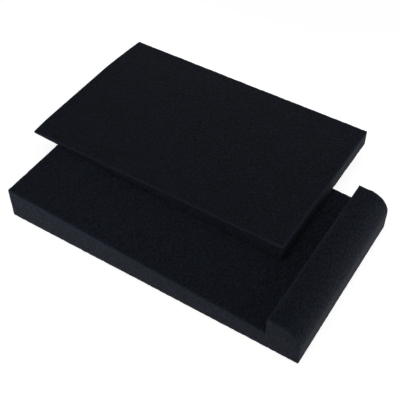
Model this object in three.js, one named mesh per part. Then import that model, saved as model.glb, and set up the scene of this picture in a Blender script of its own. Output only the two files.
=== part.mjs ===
// A two-piece speaker isolation pad of black open-cell foam, in millimetres, +Z up.
// The base is a wedge that is high at its rear edge and low at its front, where a lip
// stands up from the same piece of foam and stops the speaker from sliding off.
// A second, thinner wedge of the opposite taper lies on the sloping seat and levels it.
// It is slid to one side and towards the rear, so that both pieces show.
// The origin is the centre of the base's underside, and +X runs from the rear to the lip.
import * as THREE from 'three';

// Driving dimensions
const BASE_LENGTH = 300; // rear edge to the lip's outer face
const BASE_WIDTH = 172; // both pieces are cut to this width
const TAPER_DEG = 3; // slope of the seat and taper of the insert
const SEAT_FOOT_HEIGHT = 19; // seat above the underside, at the foot of the lip
const LIP_THICKNESS = 31; // inner face to outer face
const LIP_RISE = 19; // top of the lip above the foot of the seat
const LIP_NOSE_RADIUS = 20; // the lip's rounded outer top edge
const INSERT_THIN_EDGE = 2.2;
const INSERT_EXTRA_LENGTH = 5; // the insert is this much longer than the seat
const INSERT_SIDE_SHIFT = 71; // how far the insert lies to the side of the base
const INSERT_REAR_SHIFT = 29; // how far it hangs over the rear edge, along the slope
const REST_GAP = 0.3; // clearance between the insert and the seat that it lies on
const NOSE_SEGMENTS = 24;

// Derived dimensions
const taper = THREE.MathUtils.degToRad(TAPER_DEG);
const seatLength = BASE_LENGTH - LIP_THICKNESS;
const seatRearHeight = SEAT_FOOT_HEIGHT + seatLength * Math.tan(taper);
const lipHeight = SEAT_FOOT_HEIGHT + LIP_RISE;
const noseRadius = Math.min(LIP_NOSE_RADIUS, LIP_THICKNESS, lipHeight);
const insertLength = seatLength + INSERT_EXTRA_LENGTH;
const insertDrop = insertLength * Math.tan(taper);

const foam = new THREE.MeshStandardMaterial({ color: 0x1e2127, roughness: 1, metalness: 0 });

// Both pieces are one profile, drawn in X and Z, carried straight across the width.
// The extrusion is laid over so that the profile's second axis points up.
function cutAcross(profile, width) {
  const geometry = new THREE.ExtrudeGeometry(profile, {
    depth: width,
    bevelEnabled: false,
    curveSegments: NOSE_SEGMENTS,
  });
  geometry.rotateX(Math.PI / 2);
  geometry.translate(0, width, 0);
  return geometry;
}

// The base's profile starts at the bottom of its rear edge and runs along the underside,
// up the outer face, over the nose and the lip's flat top, down the lip's inner face to
// the foot of the seat, and back up the slope.
function makeBasePad() {
  const rear = -BASE_LENGTH / 2;
  const front = BASE_LENGTH / 2;
  const lipInside = front - LIP_THICKNESS;
  const profile = new THREE.Shape();
  profile.moveTo(rear, 0);
  profile.lineTo(front, 0);
  profile.lineTo(front, lipHeight - noseRadius);
  profile.absarc(front - noseRadius, lipHeight - noseRadius, noseRadius, 0, Math.PI / 2);
  profile.lineTo(lipInside, lipHeight);
  profile.lineTo(lipInside, SEAT_FOOT_HEIGHT);
  profile.lineTo(rear, seatRearHeight);
  profile.closePath();

  const mesh = new THREE.Mesh(cutAcross(profile, BASE_WIDTH), foam.clone());
  mesh.name = 'base_pad';
  mesh.position.y = -BASE_WIDTH / 2;
  return mesh;
}

// The insert's profile starts at the bottom of its thin edge. Its top is level and its
// ends are upright, so all of the taper is in the underside.
function makeWedgeInsert() {
  const profile = new THREE.Shape();
  profile.moveTo(0, 0);
  profile.lineTo(insertLength, -insertDrop);
  profile.lineTo(insertLength, INSERT_THIN_EDGE);
  profile.lineTo(0, INSERT_THIN_EDGE);
  profile.closePath();

  const mesh = new THREE.Mesh(cutAcross(profile, BASE_WIDTH), foam.clone());
  mesh.name = 'wedge_insert';
  return mesh;
}

// The seat's own frame starts at the base's rear top edge, with +X down the slope.
// The insert is turned back by its taper there, so that its underside lies on the seat.
function makeSeat() {
  const seat = new THREE.Group();
  seat.position.set(-BASE_LENGTH / 2, -BASE_WIDTH / 2, seatRearHeight);
  seat.rotation.y = taper;

  const insert = makeWedgeInsert();
  insert.position.set(-INSERT_REAR_SHIFT, INSERT_SIDE_SHIFT, REST_GAP);
  insert.rotation.y = -taper;
  seat.add(insert);
  return seat;
}

const isolationPad = new THREE.Group();
isolationPad.add(makeBasePad());
isolationPad.add(makeSeat());

export default isolationPad;
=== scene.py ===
# %% [markdown]
# # A two-piece speaker isolation pad of open-cell foam
#
# A studio monitor stands on this pad so that its vibration doesn't reach the desk. The pad
# is two wedges cut from black polyurethane foam: a base with a rounded stop lip along its
# low end, and a thinner wedge that lies loose on the slope and levels it. Both come off a
# profile cutter: a blade follows an outline and cuts it straight across the block. So each
# piece here is an outline, a Geometry Nodes tree that carries it across the width, and a
# second tree that opens the foam's cells in the cut faces.

# %% The fixed frame and the units
import math

import bpy
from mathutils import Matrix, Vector


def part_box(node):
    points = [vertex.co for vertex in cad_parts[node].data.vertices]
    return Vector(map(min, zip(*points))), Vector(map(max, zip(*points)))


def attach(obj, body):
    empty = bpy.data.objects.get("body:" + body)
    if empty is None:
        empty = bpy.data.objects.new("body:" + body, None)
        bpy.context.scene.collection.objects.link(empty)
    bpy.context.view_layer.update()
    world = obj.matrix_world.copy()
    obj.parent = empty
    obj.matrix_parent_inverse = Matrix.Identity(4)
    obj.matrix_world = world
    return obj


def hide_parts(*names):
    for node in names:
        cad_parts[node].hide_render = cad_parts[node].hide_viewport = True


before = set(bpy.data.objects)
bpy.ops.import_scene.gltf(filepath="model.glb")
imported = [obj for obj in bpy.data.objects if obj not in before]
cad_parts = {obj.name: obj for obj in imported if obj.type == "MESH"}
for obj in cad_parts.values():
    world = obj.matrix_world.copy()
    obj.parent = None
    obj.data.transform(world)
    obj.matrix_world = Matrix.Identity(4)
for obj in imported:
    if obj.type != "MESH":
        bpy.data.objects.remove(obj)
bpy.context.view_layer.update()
MM = 0.001


def millimetres(values):
    return [round(value / MM, 1) for value in values]


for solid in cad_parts:
    low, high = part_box(solid)
    print(solid, "from", millimetres(low), "to", millimetres(high), "mm")

# %% [markdown]
# ## Sizes
#
# The lengths and places come from the frame, so that every piece lies where its solid lies.
# Only what a box doesn't tell is written here: the taper, the foot of the seat, the lip and
# the insert's thin edge. Everything is in metres, because a Blender unit is a metre.

# %% Sizes of the two pieces
TAPER = math.radians(3)
SEAT_FOOT = 19 * MM
LIP_THICKNESS = 31 * MM
NOSE_RADIUS = 20 * MM
INSERT_THIN_EDGE = 2.2 * MM

base_low, base_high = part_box("base_pad")
insert_low, insert_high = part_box("wedge_insert")
print("base", millimetres(base_high - base_low), "insert", millimetres(insert_high - insert_low))

# %% [markdown]
# ## Small helpers for node trees
#
# Both kinds of tree, for geometry and for materials, are built with one function. It adds a
# node, sets its options, and then either sets each input to a value or links it to the
# output that is given. Two short forms of it write plain and vector sums. A modifier's
# inputs are found by name in the tree's interface and set by identifier, because the
# identifier is what the modifier stores.

# %% Node helpers
def add(tree, kind, inputs=None, **options):
    node = tree.nodes.new(kind)
    for option, value in options.items():
        setattr(node, option, value)
    for key, value in (inputs or {}).items():
        if isinstance(value, bpy.types.NodeSocket):
            tree.links.new(value, node.inputs[key])
        else:
            node.inputs[key].default_value = value
    return node


def maths(tree, operation, *values):
    return add(tree, "ShaderNodeMath", dict(enumerate(values)), operation=operation).outputs[0]


def vectors(tree, operation, *values):
    return add(tree, "ShaderNodeVectorMath", dict(enumerate(values)), operation=operation).outputs[0]


def smooth_step(tree, value, start, end):
    """1 where the value is below start, 0 where it is above end, and a smooth fall between."""
    return add(tree, "ShaderNodeMapRange", {
        "Value": value, "From Min": start, "From Max": end, "To Min": 1.0, "To Max": 0.0,
    }, interpolation_type="SMOOTHSTEP").outputs[0]


def geometry_tree(name, named_inputs):
    tree = bpy.data.node_groups.new(name, "GeometryNodeTree")
    tree.interface.new_socket("Geometry", in_out="INPUT", socket_type="NodeSocketGeometry")
    tree.interface.new_socket("Geometry", in_out="OUTPUT", socket_type="NodeSocketGeometry")
    for label, kind in named_inputs.items():
        tree.interface.new_socket(label, in_out="INPUT", socket_type="NodeSocket" + kind)
    return tree, add(tree, "NodeGroupInput"), add(tree, "NodeGroupOutput")


def use_tree(piece, tree, values):
    modifier = piece.modifiers.new(tree.name, "NODES")
    modifier.node_group = tree
    for label, value in values.items():
        modifier[tree.interface.items_tree[label].identifier] = value


def srgb(code):
    """A hex colour as it looks on a screen, turned into the linear values that nodes use."""
    channels = [int(code[i:i + 2], 16) / 255 for i in (1, 3, 5)]
    linear = [c / 12.92 if c <= 0.04045 else ((c + 0.055) / 1.055) ** 2.4 for c in channels]
    return (*linear, 1.0)


print("helpers ready; mid grey #808080 is", round(srgb("#808080")[0], 3), "in linear light")

# %% [markdown]
# ## The camera
#
# The pad is seen from above its front right corner. The lens, the distance and the two
# angles were solved from the pad's corners and outline, so the edges fall where they should.
# An azimuth of 0 would look along +Y, and a positive one stands towards +X.

# %% Camera
CAMERA_AZIMUTH = math.radians(32.32)
CAMERA_ELEVATION = math.radians(47.43)
CAMERA_DISTANCE = 760.7 * MM
CAMERA_TARGET = Vector((-12.0 * MM, 23.0 * MM, 0))
CAMERA_LENS_MM = 71.67
SENSOR_MM = 36


def place_camera():
    lens = bpy.data.cameras.new("photo_camera")
    lens.lens = CAMERA_LENS_MM
    lens.sensor_width = SENSOR_MM
    camera = bpy.data.objects.new("photo_camera", lens)
    bpy.context.scene.collection.objects.link(camera)
    away = Vector((
        math.sin(CAMERA_AZIMUTH) * math.cos(CAMERA_ELEVATION),
        -math.cos(CAMERA_AZIMUTH) * math.cos(CAMERA_ELEVATION),
        math.sin(CAMERA_ELEVATION),
    ))
    camera.location = CAMERA_TARGET + away * CAMERA_DISTANCE
    camera.rotation_euler = (-away).to_track_quat("-Z", "Y").to_euler()
    bpy.context.scene.camera = camera
    return camera


camera = place_camera()
print("camera at", millimetres(camera.location), "mm")

# %% [markdown]
# ## Outlines
#
# An outline is two wires with equally many points: one along the underside and one along
# the top, from the rear to the lip. Where the top wire turns a corner, a point lies on the
# corner itself. Under the lip the lower points are spread evenly, so the lines between
# the two wires fan out and never leave the foam.

# %% Outline wires
SEAT_COLUMNS = 214
LIP_WALL_COLUMNS = 15
LIP_FLAT_COLUMNS = 9
NOSE_COLUMNS = 25
INSERT_COLUMNS = 240


def stretch(start, end, columns):
    """The points of a straight stretch, without its first point."""
    return [start.lerp(end, k / columns) for k in range(1, columns + 1)]


def base_wires():
    rear, front = base_low.x, base_high.x
    lip_inside = front - LIP_THICKNESS
    lip_top = base_high.z
    rear_top = SEAT_FOOT + (lip_inside - rear) * math.tan(TAPER)
    foot = Vector((lip_inside, 0, SEAT_FOOT))
    lip_edge = Vector((lip_inside, 0, lip_top))
    nose_start = Vector((front - NOSE_RADIUS, 0, lip_top))
    centre = nose_start - Vector((0, 0, NOSE_RADIUS))

    top = [Vector((rear, 0, rear_top))]
    top += stretch(top[0], foot, SEAT_COLUMNS)
    top += stretch(foot, lip_edge, LIP_WALL_COLUMNS)
    top += stretch(lip_edge, nose_start, LIP_FLAT_COLUMNS)
    for k in range(1, NOSE_COLUMNS + 1):
        turn = math.pi / 2 * k / NOSE_COLUMNS
        top.append(centre + NOSE_RADIUS * Vector((math.sin(turn), 0, math.cos(turn))))

    lip_columns = len(top) - 1 - SEAT_COLUMNS
    under = [Vector((rear, 0, 0))]
    under += stretch(under[0], Vector((lip_inside, 0, 0)), SEAT_COLUMNS)
    under += stretch(under[-1], Vector((front, 0, 0)), lip_columns)
    return under, top


def insert_wires():
    length = insert_high.x - insert_low.x
    top_z = insert_high.z
    thin_bottom = Vector((insert_low.x, 0, top_z - INSERT_THIN_EDGE))
    thick_bottom = thin_bottom + Vector((length, 0, -length * math.tan(TAPER)))
    rear_top = Vector((insert_low.x, 0, top_z))
    front_top = Vector((insert_high.x, 0, top_z))
    under = [thin_bottom] + stretch(thin_bottom, thick_bottom, INSERT_COLUMNS)
    top = [rear_top] + stretch(rear_top, front_top, INSERT_COLUMNS)
    return under, top


def draw_outline(name, wires):
    under, top = wires
    columns = len(under) - 1
    edges = [(k, k + 1) for k in range(columns)]
    edges += [(columns + 1 + a, columns + 1 + b) for a, b in edges]
    mesh = bpy.data.meshes.new(name)
    mesh.from_pydata(under + top, edges, [])
    piece = bpy.data.objects.new(name, mesh)
    bpy.context.scene.collection.objects.link(piece)
    print(name, columns, "columns, top edge", millimetres(top[0]), "to", millimetres(top[-1]))
    return piece


base = draw_outline("foam_base", base_wires())
insert = draw_outline("foam_insert", insert_wires())

# %% [markdown]
# ## Carrying the outline across the width
#
# The rule of a profile-cut block is simple: every slice across the width is the same. The
# tree starts from a cube with as many columns as the outline and with rows and layers of
# its own, and then moves each of its points. The point's column picks one point of the
# lower wire and one of the upper wire, its layer says how far it lies between them, and
# its row says where it is across the width. The result is closed, because the cube is.
#
# Foam gives way under the blade and springs back, so a thin edge isn't cut quite straight.
# The corners of a thin rear edge draw in, most of all the one at +Y, and this dies away
# quickly towards the thick end. The upright corners are slightly round. Rounding them also
# holds every point inside the plain outline, seen from above. So the long sides and the
# middle of the rear edge stay straight: where a bow would push them out, it only presses
# the outermost rows and columns closer together.

# %% Geometry Nodes: profile-cut block
BOW_PEAK_SHIFT = 0.2  # how far the rear bow's peak lies towards -Y, in half widths
DRAW_IN_START = 0.33  # squared distance from that peak beyond which the edge draws in
BOW_FADE_POWER = 12.0
BOTH_SIDES_BOW = 8.0  # 4 u (1 - u) is 1 in the middle, and the width has two sides


def round_the_corners(tree, placed, wires, width, middle, radius):
    """Pulls what lies outside the outline with round corners, seen from above, onto it."""
    box = add(tree, "GeometryNodeBoundBox", {"Geometry": wires}).outputs
    half = vectors(tree, "MULTIPLY", vectors(tree, "SUBTRACT", box["Max"], box["Min"]), (0.5, 0, 0))
    half_width = add(tree, "ShaderNodeCombineXYZ", {"Y": maths(tree, "MULTIPLY", width, 0.5)}).outputs[0]
    centre = vectors(tree, "MULTIPLY", vectors(tree, "ADD", box["Max"], box["Min"]), (0.5, 0, 0))
    centre = vectors(tree, "ADD", centre, add(tree, "ShaderNodeCombineXYZ", {"Y": middle}).outputs[0])
    inset = add(tree, "ShaderNodeCombineXYZ", {"X": radius, "Y": radius}).outputs[0]
    core_size = vectors(tree, "SUBTRACT", vectors(tree, "ADD", half, half_width), inset)

    away = vectors(tree, "SUBTRACT", placed, centre)
    flat = vectors(tree, "MULTIPLY", away, (1, 1, 0))
    reach = vectors(tree, "ABSOLUTE", flat)
    core = vectors(tree, "MINIMUM", reach, core_size)
    rest = vectors(tree, "SUBTRACT", reach, core)
    length = add(tree, "ShaderNodeVectorMath", {0: rest}, operation="LENGTH").outputs["Value"]
    shrink = maths(tree, "DIVIDE", radius, maths(tree, "MAXIMUM", length, radius))
    rest = add(tree, "ShaderNodeVectorMath", {0: rest, "Scale": shrink}, operation="SCALE").outputs[0]
    rounded = vectors(tree, "MULTIPLY", vectors(tree, "ADD", core, rest), vectors(tree, "SIGN", flat))
    upright = vectors(tree, "MULTIPLY", away, (0, 0, 1))
    return vectors(tree, "ADD", vectors(tree, "ADD", rounded, upright), centre)


def profile_block_tree():
    tree, given, result = geometry_tree("profile_cut_block", {
        "Width": "Float", "Middle": "Float", "Rows": "Int", "Layers": "Int",
        "Side Bow": "Float", "Rear Bow": "Float", "Corner Radius": "Float",
    })
    wires = given.outputs["Geometry"]
    width, middle = given.outputs["Width"], given.outputs["Middle"]
    points = add(tree, "GeometryNodeAttributeDomainSize", {0: wires}).outputs["Point Count"]
    wire_points = maths(tree, "DIVIDE", points, 2.0)
    block = add(tree, "GeometryNodeMeshCube", {
        "Size": (1, 1, 1),
        "Vertices X": wire_points,
        "Vertices Y": maths(tree, "ADD", given.outputs["Rows"], 1.0),
        "Vertices Z": maths(tree, "ADD", given.outputs["Layers"], 1.0),
    })

    position = add(tree, "GeometryNodeInputPosition").outputs[0]
    in_cube = add(tree, "ShaderNodeSeparateXYZ", {0: position}).outputs
    along = maths(tree, "ADD", in_cube["X"], 0.5)
    layer = maths(tree, "ADD", in_cube["Z"], 0.5)
    column = maths(tree, "MULTIPLY", along, maths(tree, "SUBTRACT", wire_points, 1.0))
    column = maths(tree, "ROUND", column)
    ends = []
    for index in (column, maths(tree, "ADD", column, wire_points)):
        sample = add(tree, "GeometryNodeSampleIndex", {
            "Geometry": wires, "Value": position, "Index": index,
        }, data_type="FLOAT_VECTOR", domain="POINT")
        ends.append(sample.outputs[0])
    between = add(tree, "ShaderNodeMix", {
        "Factor": layer, 4: ends[0], 5: ends[1],
    }, data_type="VECTOR").outputs[1]

    to_end = maths(tree, "SUBTRACT", 1.0, along)
    bulge = maths(tree, "MULTIPLY", maths(tree, "MULTIPLY", along, to_end), BOTH_SIDES_BOW)
    bulge = maths(tree, "MULTIPLY", bulge, given.outputs["Side Bow"])
    row = maths(tree, "MULTIPLY_ADD", in_cube["Y"], maths(tree, "ADD", width, bulge), middle)
    off_peak = maths(tree, "ABSOLUTE", maths(tree, "MULTIPLY_ADD", in_cube["Y"], 2.0, BOW_PEAK_SHIFT))
    drawn_in = maths(tree, "SUBTRACT", maths(tree, "POWER", off_peak, 2.0), DRAW_IN_START)
    drawn_in = maths(tree, "MULTIPLY", drawn_in, maths(tree, "POWER", to_end, BOW_FADE_POWER))
    drawn_in = maths(tree, "MULTIPLY", drawn_in, given.outputs["Rear Bow"])
    shift = add(tree, "ShaderNodeCombineXYZ", {"X": drawn_in, "Y": row}).outputs[0]
    placed = vectors(tree, "ADD", between, shift)
    placed = round_the_corners(tree, placed, wires, width, middle, given.outputs["Corner Radius"])
    moved = add(tree, "GeometryNodeSetPosition", {
        "Geometry": block.outputs["Mesh"], "Position": placed,
    })
    tree.links.new(moved.outputs[0], result.inputs[0])
    return tree


BLOCK_TREE = profile_block_tree()
print(BLOCK_TREE.name, "has", len(BLOCK_TREE.nodes), "nodes")

# %% [markdown]
# ## Open cells in the cut faces
#
# A cut through open-cell foam is a field of small pits where the blade opened the cells,
# with the struts between them standing at the surface. No two cells are cut at the same
# height, so a Voronoi texture gives each cell a pit of its own depth. Slow noise gives the
# soft unevenness of foam that has been handled, and a noise stretched along the blade
# gives the faint ripple that the blade leaves. The sides spring out a little.
#
# The cut edges crumble, cell by cell, and the signed edge angle finds them. A point on a
# square edge has four edges, of which two are bent by 90 degrees, so its mean is 45 degrees.
# Where the angle is negative, at the foot of the lip, the inner corner is filled instead.
# The edge is also spread over the points beside it and stored as an attribute, so that the
# foam's colour can paint a highlight along it. At the end nothing is left below the table's surface.

# %% Geometry Nodes: open cells
EDGE_HIGHLIGHT_ATTRIBUTE = "cut_edge_highlight"
SQUARE_EDGE_MEAN = math.pi / 4
EDGE_SPREAD_STEPS = 2
PIT_FADE = (0.15, 0.75)  # a pit's floor rises between these distances from its middle, in cells
RIPPLE_STRETCH = (1.0, 0.06, 1.0)  # the ripple runs on across the width, along the blade
LOWEST_POINT = (-1, -1, 0)  # no point's X or Y is as low as -1 m, so this holds only Z


def open_cell_tree():
    tree, given, result = geometry_tree("open_cut_cells", {
        "Cell Size": "Float", "Pit Depth": "Float", "Side Spring": "Float",
        "Edge Crumble": "Float", "Ripple Spacing": "Float", "Ripple Depth": "Float",
        "Wave Spacing": "Float", "Wave Depth": "Float", "Seed": "Float", "Foam": "Material",
    })

    def slow_noise(place, spacing, depth):
        """Noise that moves a face by no more than depth, outwards or inwards."""
        noise = add(tree, "ShaderNodeTexNoise", {
            "Vector": place, "Scale": maths(tree, "DIVIDE", 1.0, spacing), "Detail": 1.0,
        }, noise_dimensions="3D").outputs[0]
        centred = maths(tree, "SUBTRACT", noise, 0.5)
        return maths(tree, "MULTIPLY", centred, maths(tree, "MULTIPLY", depth, 2.0))

    position = add(tree, "GeometryNodeInputPosition").outputs[0]
    normal = add(tree, "GeometryNodeInputNormal").outputs[0]
    shifted = vectors(tree, "ADD", position, given.outputs["Seed"])
    cells = add(tree, "ShaderNodeTexVoronoi", {
        "Vector": shifted, "Scale": maths(tree, "DIVIDE", 1.0, given.outputs["Cell Size"]),
    }, voronoi_dimensions="3D", feature="F1").outputs
    own_depth = add(tree, "ShaderNodeSeparateXYZ", {0: cells["Color"]}).outputs["X"]
    pit = maths(tree, "MULTIPLY", smooth_step(tree, cells["Distance"], *PIT_FADE), own_depth)
    pit = maths(tree, "MULTIPLY", pit, given.outputs["Pit Depth"])

    blade_lines = vectors(tree, "MULTIPLY", shifted, RIPPLE_STRETCH)
    ripple = slow_noise(blade_lines, given.outputs["Ripple Spacing"], given.outputs["Ripple Depth"])
    wave = slow_noise(shifted, given.outputs["Wave Spacing"], given.outputs["Wave Depth"])

    upward = add(tree, "ShaderNodeSeparateXYZ", {0: normal}).outputs["Z"]
    sideways = maths(tree, "SUBTRACT", 1.0, maths(tree, "ABSOLUTE", upward))
    spring = maths(tree, "MULTIPLY", sideways, given.outputs["Side Spring"])

    angle = add(tree, "GeometryNodeInputMeshEdgeAngle").outputs["Signed Angle"]
    on_edge = maths(tree, "DIVIDE", angle, SQUARE_EDGE_MEAN)
    on_edge = add(tree, "ShaderNodeClamp", {"Value": on_edge, "Min": -1.0, "Max": 1.0}).outputs[0]
    own_crumble = maths(tree, "MULTIPLY", own_depth, 2.0)  # about 1 on average
    crumble = maths(tree, "MULTIPLY", on_edge, given.outputs["Edge Crumble"])
    crumble = maths(tree, "MULTIPLY", crumble, own_crumble)

    outwards = maths(tree, "ADD", maths(tree, "ADD", ripple, wave), spring)
    outwards = maths(tree, "SUBTRACT", outwards, maths(tree, "ADD", pit, crumble))
    offset = add(tree, "ShaderNodeVectorMath", {0: normal, "Scale": outwards}, operation="SCALE")
    # The convex cut edges, spread and stored, carry a painted highlight in the foam's colour.
    edge_highlight = add(tree, "GeometryNodeBlurAttribute", {
        0: maths(tree, "MAXIMUM", on_edge, 0.0), "Iterations": EDGE_SPREAD_STEPS,
    }, data_type="FLOAT").outputs[0]
    marked = add(tree, "GeometryNodeStoreNamedAttribute", {
        "Geometry": given.outputs["Geometry"], "Name": EDGE_HIGHLIGHT_ATTRIBUTE, "Value": edge_highlight,
    }, data_type="FLOAT", domain="POINT")
    mesh = add(tree, "GeometryNodeSetPosition", {
        "Geometry": marked.outputs[0], "Offset": offset.outputs[0],
    }).outputs[0]
    above_table = vectors(tree, "MAXIMUM", position, LOWEST_POINT)
    mesh = add(tree, "GeometryNodeSetPosition", {"Geometry": mesh, "Position": above_table}).outputs[0]
    mesh = add(tree, "GeometryNodeSetShadeSmooth", {"Geometry": mesh, "Shade Smooth": True}).outputs[0]
    mesh = add(tree, "GeometryNodeRealizeInstances", {"Geometry": mesh}).outputs[0]
    mesh = add(tree, "GeometryNodeSetMaterial", {
        "Geometry": mesh, "Material": given.outputs["Foam"],
    }).outputs[0]
    tree.links.new(mesh, result.inputs[0])
    return tree


CELL_TREE = open_cell_tree()
print(CELL_TREE.name, "has", len(CELL_TREE.nodes), "nodes")

# %% [markdown]
# ## The foam
#
# Polyurethane foam of this kind is blown as a block of small bubbles, dyed in the mix, and
# cut by a blade. The eye sees no gloss: each bubble is a dark hole in a net of thin struts,
# so the face is matt and nearly black, with a blue cast from the dye. A cell that was cut
# near its rim shows more strut and looks paler than one cut through its middle. The cells
# measure about a millimetre, which is one pixel here, so they are drawn at 2.2 mm. A few
# cells get painted glints, pale specks where strut ends would catch the light. The dye and
# the density vary a little through the block. Each cut edge gets a painted highlight that
# makes it slightly paler, where it catches light from both of its faces.
#
# The pattern is turned off the axes, because a face that lies along the noise's own grid
# cuts it where it is flattest. Under the fitted light the insert has to be slightly darker
# than the base to look like the photo's, so its copy of the foam is darkened by painted shade.

# %% Material: blade-cut open-cell polyurethane foam
STRUT_COLOUR = srgb("#1e232d")
HOLE_COLOUR = srgb("#06080c")
# The pale colour of the painted highlights on the cut edges and the glint cells.
PAINTED_HIGHLIGHT_COLOUR = srgb("#2f3542")
DRAWN_CELL = 2.2 * MM
DRAWN_STRUT = 1.8 * MM
PATTERN_TURN = (0.5, 0.6, 0.7)
TOP_CONTRAST = 2.7
SIDE_CONTRAST = 3.5  # the photo shows more grain on the long front side than on the top
NET_DARKNESS = 0.35  # how far the net's average colour lies from strut to hole
OPENING_DARKNESS = 0.35  # how much the widest opening adds to that
OPENING_FADE = (0.2, 0.9)  # an opening fades between these distances from its middle, in cells
GLINT_SHARE = 0.06  # the share of cells that get a painted glint
GLINT_FADE = (0.1, 0.5)
GLINT_STRENGTH = 0.7
DENSITY_SPACING = 35 * MM
DENSITY_SPREAD = 0.07
DENSITY_NOISE = (0.3, 0.7)  # the noise values at which the foam is darkest and palest
EDGE_HIGHLIGHT_STRENGTH = 0.9  # how far a square edge's colour goes towards the painted highlight colour
STRUT_HEIGHT = 0.35 * MM
STRUT_BUMP = 0.7


def blade_cut_polyurethane_foam(name, seed, painted_shade_factor):
    foam = bpy.data.materials.new(name)
    foam.use_nodes = True
    tree = foam.node_tree
    shader = tree.nodes["Principled BSDF"]
    shader.inputs["Roughness"].default_value = 0.95
    shader.inputs["Specular IOR Level"].default_value = 0.1
    shader.inputs["IOR"].default_value = 1.5

    place = add(tree, "ShaderNodeTexCoord").outputs["Object"]
    place = add(tree, "ShaderNodeMapping", {
        "Vector": place, "Location": (seed, seed, seed), "Rotation": PATTERN_TURN,
    }).outputs[0]
    cells = add(tree, "ShaderNodeTexVoronoi", {
        "Vector": place, "Scale": 1 / DRAWN_CELL,
    }, voronoi_dimensions="3D", feature="F1").outputs
    own = add(tree, "ShaderNodeSeparateColor", {0: cells["Color"]}).outputs
    opening = maths(tree, "MULTIPLY", smooth_step(tree, cells["Distance"], *OPENING_FADE), own["Red"])
    # Painted glints: a few cells get a pale speck, as if a strut end caught the light.
    glint_cell = maths(tree, "GREATER_THAN", own["Green"], 1 - GLINT_SHARE)
    painted_glint = maths(tree, "MULTIPLY", smooth_step(tree, cells["Distance"], *GLINT_FADE), glint_cell)
    painted_glint = maths(tree, "MULTIPLY", painted_glint, GLINT_STRENGTH)
    net = add(tree, "ShaderNodeTexNoise", {
        "Vector": place, "Scale": 1 / DRAWN_STRUT, "Detail": 2.0,
    }, noise_dimensions="3D").outputs[0]
    normal = add(tree, "ShaderNodeNewGeometry").outputs["Normal"]
    upward = maths(tree, "ABSOLUTE", add(tree, "ShaderNodeSeparateXYZ", {0: normal}).outputs["Z"])
    contrast = maths(tree, "MULTIPLY_ADD", upward, TOP_CONTRAST - SIDE_CONTRAST, SIDE_CONTRAST)
    hole = maths(tree, "MULTIPLY_ADD", opening, OPENING_DARKNESS, NET_DARKNESS)
    hole = maths(tree, "MULTIPLY_ADD", maths(tree, "SUBTRACT", net, 0.5), contrast, hole)
    colour = add(tree, "ShaderNodeMix", {
        "Factor": hole, 6: STRUT_COLOUR, 7: HOLE_COLOUR,
    }, data_type="RGBA").outputs[2]

    density = add(tree, "ShaderNodeTexNoise", {
        "Vector": place, "Scale": 1 / DENSITY_SPACING, "Detail": 2.0,
    }, noise_dimensions="3D").outputs[0]
    density = add(tree, "ShaderNodeMapRange", {
        "Value": density, "From Min": DENSITY_NOISE[0], "From Max": DENSITY_NOISE[1],
        "To Min": (1 - DENSITY_SPREAD) * painted_shade_factor, "To Max": (1 + DENSITY_SPREAD) * painted_shade_factor,
    }).outputs[0]
    colour = vectors(tree, "MULTIPLY", colour, density)

    # A painted highlight along the cut edges, joined by the painted glints.
    edge = add(tree, "ShaderNodeAttribute", attribute_name=EDGE_HIGHLIGHT_ATTRIBUTE).outputs["Fac"]
    painted_highlight = maths(tree, "MAXIMUM", maths(tree, "MULTIPLY", edge, EDGE_HIGHLIGHT_STRENGTH), painted_glint)
    colour = add(tree, "ShaderNodeMix", {
        "Factor": painted_highlight, 6: colour, 7: PAINTED_HIGHLIGHT_COLOUR,
    }, data_type="RGBA").outputs[2]
    tree.links.new(colour, shader.inputs["Base Color"])

    bump = add(tree, "ShaderNodeBump", {
        "Strength": STRUT_BUMP, "Distance": STRUT_HEIGHT, "Height": maths(tree, "SUBTRACT", 1.0, hole),
    })
    tree.links.new(bump.outputs[0], shader.inputs["Normal"])
    return foam


# The insert's foam is darkened to 0.87 as painted shade; the base's 1.0 has none.
BASE_FOAM = blade_cut_polyurethane_foam("blade_cut_polyurethane_foam_base", seed=0.0, painted_shade_factor=1.0)
INSERT_FOAM = blade_cut_polyurethane_foam("blade_cut_polyurethane_foam_insert", seed=0.4, painted_shade_factor=0.87)
print("foam materials:", BASE_FOAM.name, INSERT_FOAM.name)

# %% [markdown]
# ## Cutting the two pieces
#
# Each outline gets both trees, and the result is then stored as a plain mesh, so that the
# modifiers can go. The rows and layers keep most faces about as wide as they are long. Only
# the insert has a thin edge whose corners draw in. The seed moves the cells, so that the
# two pieces don't repeat each other.

# %% Cut both pieces
CORNER_RADIUS = 0.8 * MM
CUT_FACES = {
    "Cell Size": 2.8 * MM, "Pit Depth": 0.2 * MM,
    "Side Spring": 0.25 * MM, "Edge Crumble": 0.12 * MM,
    "Ripple Spacing": 14 * MM, "Ripple Depth": 0.12 * MM,
    "Wave Spacing": 60 * MM, "Wave Depth": 0.2 * MM,
}


def cut_piece(piece, low, high, rows, layers, side_bow, rear_bow, foam, seed):
    use_tree(piece, BLOCK_TREE, {
        "Width": high.y - low.y, "Middle": (high.y + low.y) / 2, "Rows": rows, "Layers": layers,
        "Side Bow": side_bow, "Rear Bow": rear_bow, "Corner Radius": CORNER_RADIUS,
    })
    use_tree(piece, CELL_TREE, {**CUT_FACES, "Seed": seed, "Foam": foam})
    graph = bpy.context.evaluated_depsgraph_get()
    mesh = bpy.data.meshes.new_from_object(piece.evaluated_get(graph), depsgraph=graph)
    mesh.name = piece.name
    piece.modifiers.clear()
    piece.data = mesh
    heights = [vertex.co.z for vertex in mesh.vertices]
    print(piece.name, len(mesh.polygons) * 2, "triangles, from", round(min(heights) / MM, 2),
          "to", round(max(heights) / MM, 2), "mm high")


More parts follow.
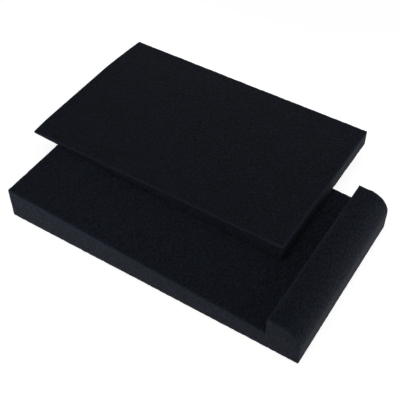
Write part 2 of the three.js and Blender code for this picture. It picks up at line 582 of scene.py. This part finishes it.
cut_piece(base, base_low, base_high, rows=138, layers=20,
          side_bow=0.2 * MM, rear_bow=0.0, foam=BASE_FOAM, seed=0.0)
cut_piece(insert, insert_low, insert_high, rows=150, layers=12,
          side_bow=0.3 * MM, rear_bow=3.3 * MM, foam=INSERT_FOAM, seed=0.7)

# %% [markdown]
# ## Joining the frame
#
# Both pieces belong to the one body of this part. Foam has no skin and no stuffing: it
# fills its outline completely.

# %% Frame calls
for piece, node, slot in (
    (base, "base_pad", "foam_base"),
    (insert, "wedge_insert", "foam_insert"),
):
    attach(piece, "root")
    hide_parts(node)
    print(piece.name, "stands for", node)

# %% [markdown]
# ## The table
#
# The pad lies on a plain white table. The camera sees the table as white, apart from the
# faint shadow that the pad leaves, and so do gloss and glass. To all other light it is a
# plain matt surface.

# %% Table
TABLE_SIZE = 6.0
TABLE_SHADE = srgb("#a0a0a0")
TABLE_WHITE = 0.88


def seen_directly(tree):
    """1 for rays from the camera and from gloss or glass, and 0 for rays of plain light."""
    path = add(tree, "ShaderNodeLightPath").outputs
    seen = maths(tree, "MAXIMUM", path["Is Camera Ray"], path["Is Glossy Ray"])
    return maths(tree, "MAXIMUM", seen, path["Is Transmission Ray"])


def white_table():
    half = TABLE_SIZE / 2
    corners = [(-half, -half, 0), (half, -half, 0), (half, half, 0), (-half, half, 0)]
    mesh = bpy.data.meshes.new("table")
    mesh.from_pydata(corners, [], [(0, 1, 2, 3)])
    table = bpy.data.objects.new("table", mesh)
    bpy.context.scene.collection.objects.link(table)
    finish = bpy.data.materials.new("white_acrylic_table")
    finish.use_nodes = True
    tree = finish.node_tree
    tree.nodes.clear()
    matt = add(tree, "ShaderNodeBsdfDiffuse", {"Color": TABLE_SHADE}).outputs[0]
    white = add(tree, "ShaderNodeEmission", {"Color": (1, 1, 1, 1), "Strength": TABLE_WHITE}).outputs[0]
    lit = add(tree, "ShaderNodeAddShader", {0: matt, 1: white}).outputs[0]
    shown = add(tree, "ShaderNodeMixShader", {0: seen_directly(tree), 1: matt, 2: lit}).outputs[0]
    add(tree, "ShaderNodeOutputMaterial", {"Surface": shown})
    mesh.materials.append(finish)


white_table()
print("table is", TABLE_SIZE, "m wide")

# %% [markdown]
# ## The light
#
# The sides of the base are brighter than its top, while the front of the insert, which the
# base screens from the table, is as dark as the top. So much of the light comes from below:
# the table is lit from under it, as for a product picture. Two large soft boxes hang above
# and to the right. The long front side fades from left to right, so a low strip light stands
# near its left end. Two weaker ones stand to the right, for the insert's end face, and
# behind the pad, for the insert's far edge. The glow is an area lamp that lies on the table
# and shines up, and the world is a dim room. A lamp's power is worked out from its
# brightness, so that it keeps its look at any size.

# %% Lamps and room
ROOM_LIGHT = 0.02
LAMPS = (
    # name, place and aim in metres, width and height in metres, brightness
    ("table_glow", (0, 0, 0.5 * MM), (0, 0, 1), (1.6, 1.6), 0.63),
    ("top_soft_box", (0, -0.2, 1.48), (0, 0, 0), (0.9, 0.9), 2.85),
    ("right_soft_box", (1.42, 0.15, 0.45), (0, 0, 0.02), (0.9, 0.9), 1.5),
    ("left_strip_light", (-0.2, -0.42, 0.05), (-0.1, -0.086, 0.015), (0.4, 0.08), 7.0),
    ("right_strip_light", (0.35, 0.25, 0.05), (0.09, 0.12, 0.03), (0.2, 0.08), 4.0),
    ("back_strip_light", (-0.1, 0.3, 0.07), (-0.08, 0.157, 0.037), (0.5, 0.06), 1.3),
)


def place_lamp(name, place, aim, size, brightness):
    width, height = size
    lamp = bpy.data.lights.new(name, "AREA")
    lamp.shape = "RECTANGLE"
    lamp.size = width
    lamp.size_y = height
    lamp.energy = brightness * math.pi * width * height
    light = bpy.data.objects.new(name, lamp)
    bpy.context.scene.collection.objects.link(light)
    light.location = place
    light.rotation_euler = (Vector(aim) - Vector(place)).to_track_quat("-Z", "Y").to_euler()
    light.visible_camera = False
    print(name, "gives", round(lamp.energy, 2), "W")


def white_room(brightness):
    world = bpy.data.worlds.new("white_room")
    world.use_nodes = True
    tree = world.node_tree
    tree.nodes.clear()
    dim = add(tree, "ShaderNodeBackground", {"Color": (1, 1, 1, 1), "Strength": brightness}).outputs[0]
    white = add(tree, "ShaderNodeBackground", {"Color": (1, 1, 1, 1), "Strength": 1.0}).outputs[0]
    shown = add(tree, "ShaderNodeMixShader", {0: seen_directly(tree), 1: dim, 2: white}).outputs[0]
    add(tree, "ShaderNodeOutputWorld", {"Surface": shown})
    bpy.context.scene.world = world


bpy.context.scene.view_settings.view_transform = "Standard"
white_room(ROOM_LIGHT)
for lamp_settings in LAMPS:
    place_lamp(*lamp_settings)
